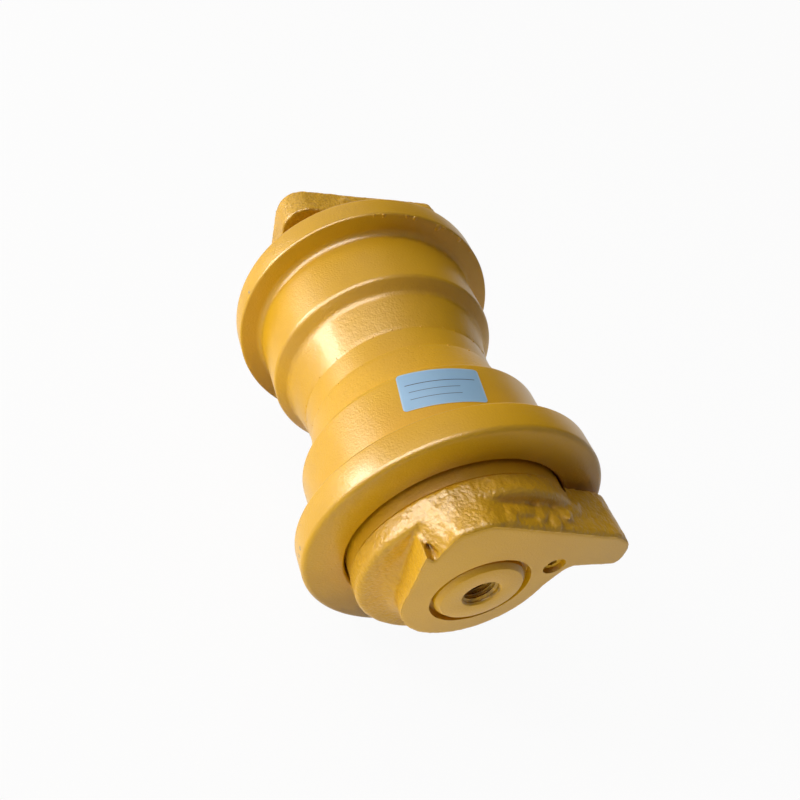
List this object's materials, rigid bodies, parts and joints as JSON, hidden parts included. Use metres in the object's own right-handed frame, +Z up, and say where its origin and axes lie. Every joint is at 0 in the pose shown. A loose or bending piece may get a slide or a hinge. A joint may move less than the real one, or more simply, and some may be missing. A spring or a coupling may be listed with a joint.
{
  "type": "track roller",
  "caption": "Sealed crawler track roller: a flanged steel shell that turns on a fixed shaft between winged cast end collars with threaded mounting holes.",
  "frame": {"origin": "middle of the roller on its axis", "axes": "+Z up towards the track frame, Y along the axle with the pictured near end at -Y, +X towards the wing of the near collar"},
  "size_m": [0.136, 0.2116, 0.136],
  "materials": {
    "shell_paint": "glossy amber paint over machined and forged steel",
    "cast_paint": "glossy amber paint over rough casting, machined faces smooth",
    "shaft_steel": "amber paint on the shaft ends, bare dark threads",
    "bush_bronze": "machined bronze lining",
    "seal_iron": "lapped hard iron",
    "seal_rubber": "matt black rubber",
    "pin_steel": "ground steel",
    "plug_paint": "painted steel plug",
    "label": "pale blue film, blank with plain ruled lines"
  },
  "bodies": {
    "axle": {"shaft": "shaft_steel", "near_collar": "cast_paint", "far_collar": "cast_paint", "near_fixed_ring": "seal_iron", "far_fixed_ring": "seal_iron", "near_fixed_toric": "seal_rubber", "far_fixed_toric": "seal_rubber", "near_shaft_oring": "seal_rubber", "far_shaft_oring": "seal_rubber", "near_lock_pin": "pin_steel", "far_lock_pin": "pin_steel", "near_oil_plug": "plug_paint", "far_oil_plug": "plug_paint"},
    "roller": {"roller_shell": "shell_paint", "near_bush": "bush_bronze", "far_bush": "bush_bronze", "near_rotating_ring": "seal_iron", "far_rotating_ring": "seal_iron", "near_rotating_toric": "seal_rubber", "far_rotating_toric": "seal_rubber", "inspection_label": "label"}
  },
  "joints": [
    {"name": "shell_spin", "type": "hinge", "parent": "axle", "child": "roller", "pos_m": [0, 0, 0], "axis": [0, 1, 0], "continuous": true}
  ]
}
